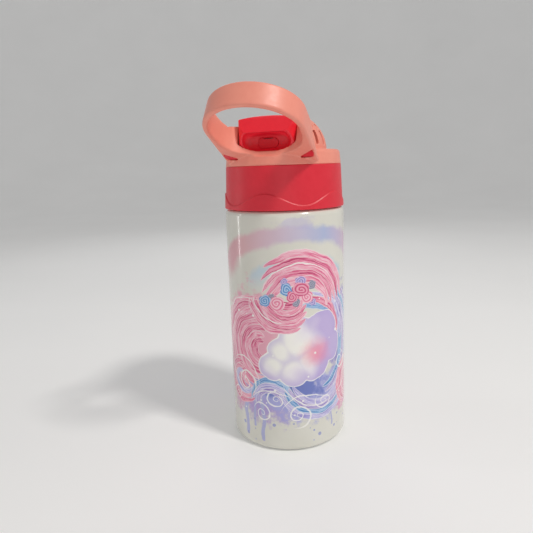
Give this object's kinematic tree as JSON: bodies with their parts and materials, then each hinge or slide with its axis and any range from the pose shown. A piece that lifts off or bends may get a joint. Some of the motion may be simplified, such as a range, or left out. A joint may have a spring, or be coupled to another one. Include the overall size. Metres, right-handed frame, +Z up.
{
  "type": "kids water bottle",
  "caption": "Double-wall steel kids' water bottle with a screw lid, leaning carry loop, slotted hinge guard and flip-up drinking spout.",
  "frame": {"origin": "centre of the flat base", "axes": "+Z up along the body's axis; the carry loop leans towards -Y; the spout's hinge is parallel to X"},
  "size_m": [0.068, 0.104, 0.1945],
  "materials": {
    "coated_steel": "white gloss sublimation coat with a printed pastel wrap",
    "steel": "brushed inside",
    "foil": "bright foil",
    "bead": "sealing glass",
    "getter": "sintered grey",
    "silicone": "translucent white silicone",
    "insert": "natural polypropylene",
    "red_plastic": "satin red",
    "salmon_plastic": "satin salmon",
    "pin_steel": "ground pin",
    "spout_red": "bright red, slightly glossy",
    "soft_red": "soft red silicone",
    "straw": "frosted polypropylene"
  },
  "bodies": {
    "bottle": {"outer_shell": "coated_steel", "inner_liner": "steel", "radiation_foil": "foil", "outer_base": "steel", "base_cover": "steel", "sealing_bead": "bead", "getter_cup": "steel", "getter": "getter"},
    "gasket_carrier": {"cap_gasket": "silicone"},
    "lid": {"cap_shell": "red_plastic", "cap_insert": "insert", "handle_collar": "salmon_plastic", "hinge_pins": "pin_steel", "port_seal": "silicone", "straw_socket": "insert", "socket_seal": "silicone", "straw": "straw", "vent_valve": "silicone", "vent_cap": "red_plastic"},
    "spout": {"spout_shell": "spout_red", "spout_base": "spout_red", "spout_tube": "silicone", "mouthpiece": "soft_red"}
  },
  "joints": [
    {"name": "lid_lift", "type": "slide", "parent": "bottle", "child": "gasket_carrier", "axis": [0, 0, 1], "range_m": [0, 0.0181]},
    {"name": "lid_turn", "type": "hinge", "parent": "gasket_carrier", "child": "lid", "pos_m": [0, 0, 0.1434], "axis": [0, 0, 1], "range_deg": [0, 1080]},
    {"name": "spout_flip", "type": "hinge", "parent": "lid", "child": "spout", "pos_m": [0, 0.006, 0.1736], "axis": [-1, 0, 0], "range_deg": [0, 92]}
  ],
  "couplings": [
    {"joint": "lid_lift", "follows": "lid_turn", "m_per_rad": 0.00095493}
  ]
}
